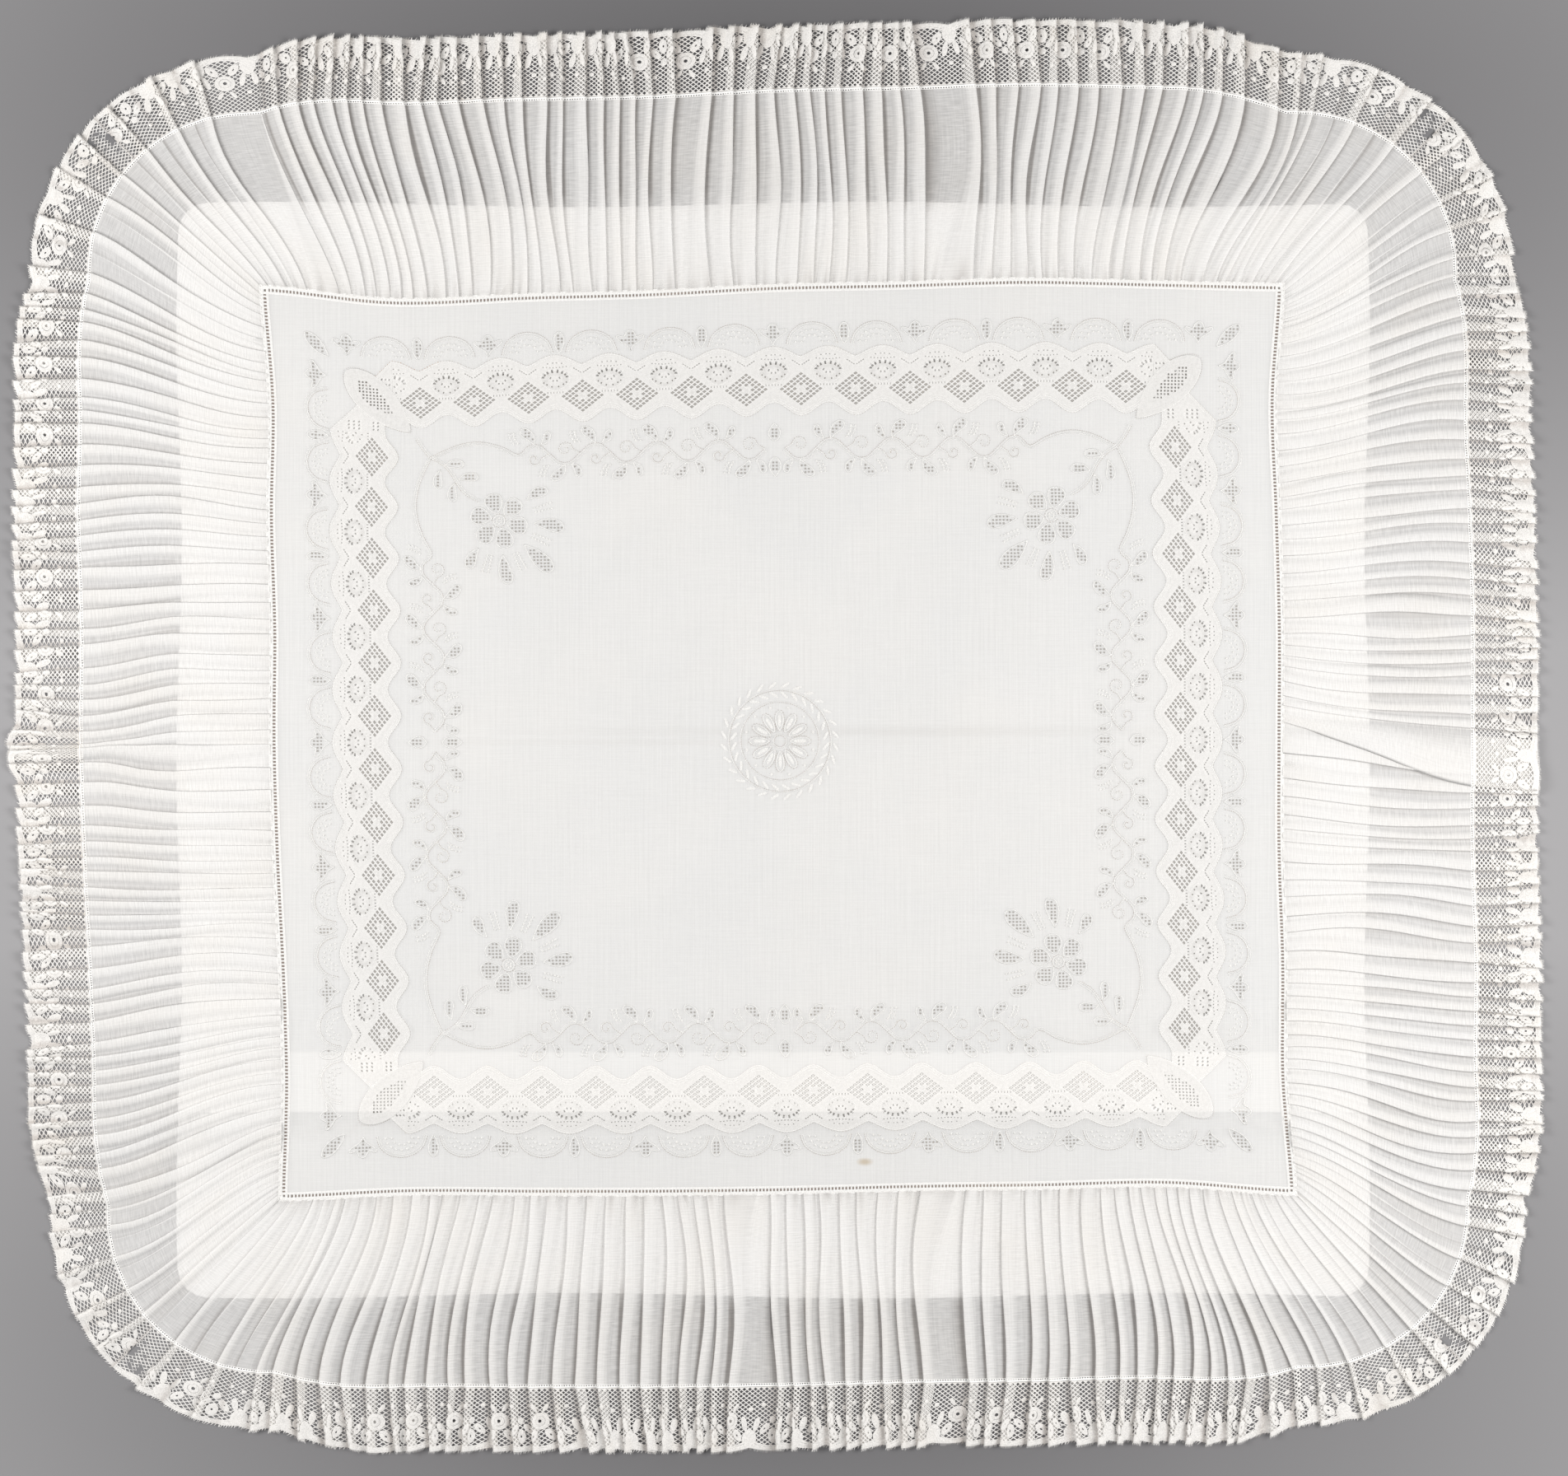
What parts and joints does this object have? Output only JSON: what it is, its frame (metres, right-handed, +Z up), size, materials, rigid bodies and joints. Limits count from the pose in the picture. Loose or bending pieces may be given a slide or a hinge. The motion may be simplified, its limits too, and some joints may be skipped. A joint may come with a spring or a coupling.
{
  "type": "lace handkerchief",
  "caption": "Flat lawn panel with a mitred lace insertion, drawn and padded whitework, a pleated sheer frill and a gathered lace edging, lying on its own backing cloth.",
  "frame": {"origin": "middle of the outline, on the surface that the cloth lies on", "axes": "+Z up from the surface, +X to the right along the longer sides, +Y away from the viewer, with the backing's lap towards -Y"},
  "size_m": [0.5016, 0.4698, 0.0056],
  "materials": {
    "backing": "plain opaque white cotton",
    "lawn": "fine sheer lawn with white hand embroidery and drawn work",
    "lace": "white bobbin lace with an open diamond net",
    "batiste": "sheer finely pleated batiste"
  },
  "bodies": {
    "root": {"back_upper": "backing", "back_lower": "backing", "panel_border": "lawn", "panel_field": "lawn", "insertion_top": "lace", "insertion_right": "lace", "insertion_bottom": "lace", "insertion_left": "lace", "corner_leaf_top_left": "lace", "corner_leaf_top_right": "lace", "corner_leaf_bottom_right": "lace", "corner_leaf_bottom_left": "lace", "beading_top": "lace", "beading_right": "lace", "beading_bottom": "lace", "beading_left": "lace", "frill_top": "batiste", "frill_right": "batiste", "frill_bottom": "batiste", "frill_left": "batiste", "edging_top": "lace", "edging_right": "lace", "edging_bottom": "lace", "edging_left": "lace"}
  },
  "joints": []
}
